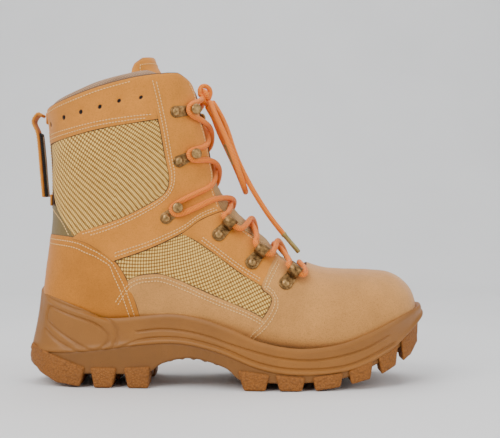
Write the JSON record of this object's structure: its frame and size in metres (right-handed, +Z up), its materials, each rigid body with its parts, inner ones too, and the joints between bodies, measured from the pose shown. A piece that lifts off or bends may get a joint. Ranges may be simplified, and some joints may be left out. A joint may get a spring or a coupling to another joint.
{
  "type": "steel toe work boot",
  "caption": "Lace-up steel toe work boot with padded collar, textile side panels, hooks and eyelets, and a lugged sole.",
  "frame": {"origin": "under the middle of the sole, where the lugs stand", "axes": "+X towards the toe, +Z up, -Y the outer side of a right foot"},
  "size_m": [0.3091, 0.114, 0.2459],
  "materials": {
    "nubuck": "matte, brushed",
    "suede": "rough",
    "textile": "coarse weave",
    "lining": "soft knit",
    "rubber": "satin",
    "midsole": "satin",
    "steel": "brushed",
    "brass": "antiqued",
    "board": "pressed fibre",
    "stiffener": "matt",
    "foam": "open foam",
    "webbing": "ribbed",
    "lace": "braided",
    "aglet": "worn"
  },
  "bodies": {
    "root": {"achilles_panel": "nubuck", "aglet_long": "aglet", "aglet_short": "aglet", "back_stay": "nubuck", "collar_band": "nubuck", "collar_roll": "lining", "eyelet_rivets": "brass", "foam_interlining": "foam", "foot_lining": "lining", "heel_counter": "nubuck", "heel_stiffener": "stiffener", "hook_rivets": "brass", "insole_board": "board", "lace_bow_loop": "lace", "lace_knot": "lace", "lace_lacing": "lace", "lace_long_end": "lace", "lace_short_end": "lace", "lower_facing_inner": "nubuck", "lower_facing_outer": "nubuck", "lower_panel_inner": "textile", "lower_panel_outer": "textile", "midsole": "midsole", "outsole": "rubber", "pull_loop_tabs": "nubuck", "quarter_inner": "suede", "quarter_outer": "suede", "rivet_washers": "brass", "shaft_lining": "lining", "shaft_panel_inner": "textile", "shaft_panel_outer": "textile", "shank": "steel", "speed_hook_1_inner": "brass", "speed_hook_1_outer": "brass", "speed_hook_2_inner": "brass", "speed_hook_2_outer": "brass", "speed_hook_3_inner": "brass", "speed_hook_3_outer": "brass", "steel_toe_cap": "steel", "toe_cap_edge_strip": "rubber", "tunnel_eyelet_1_inner": "brass", "tunnel_eyelet_1_outer": "brass", "tunnel_eyelet_2_inner": "brass", "tunnel_eyelet_2_outer": "brass", "tunnel_eyelet_3_inner": "brass", "tunnel_eyelet_3_outer": "brass", "upper_facing_inner": "nubuck", "upper_facing_outer": "nubuck", "vamp": "nubuck"},
    "tongue": {"tongue_pad": "lining", "tongue_leather": "nubuck"},
    "pull_loop": {"pull_loop_leather": "nubuck", "pull_loop_webbing": "webbing"},
    "footbed": {"footbed": "lining"}
  },
  "joints": [
    {"name": "tongue_fold", "type": "hinge", "parent": "root", "child": "tongue", "pos_m": [0.048, 0, 0.088], "axis": [0, -1, 0], "range_deg": [0, 10]},
    {"name": "pull_loop_flop", "type": "hinge", "parent": "root", "child": "pull_loop", "pos_m": [-0.1425, 0, 0.17], "axis": [0, 0, 1], "range_deg": [-15, 15]},
    {"name": "footbed_lift", "type": "hinge", "parent": "root", "child": "footbed", "pos_m": [0.13, 0, 0.038], "axis": [0, 1, 0], "range_deg": [0, 6]}
  ]
}
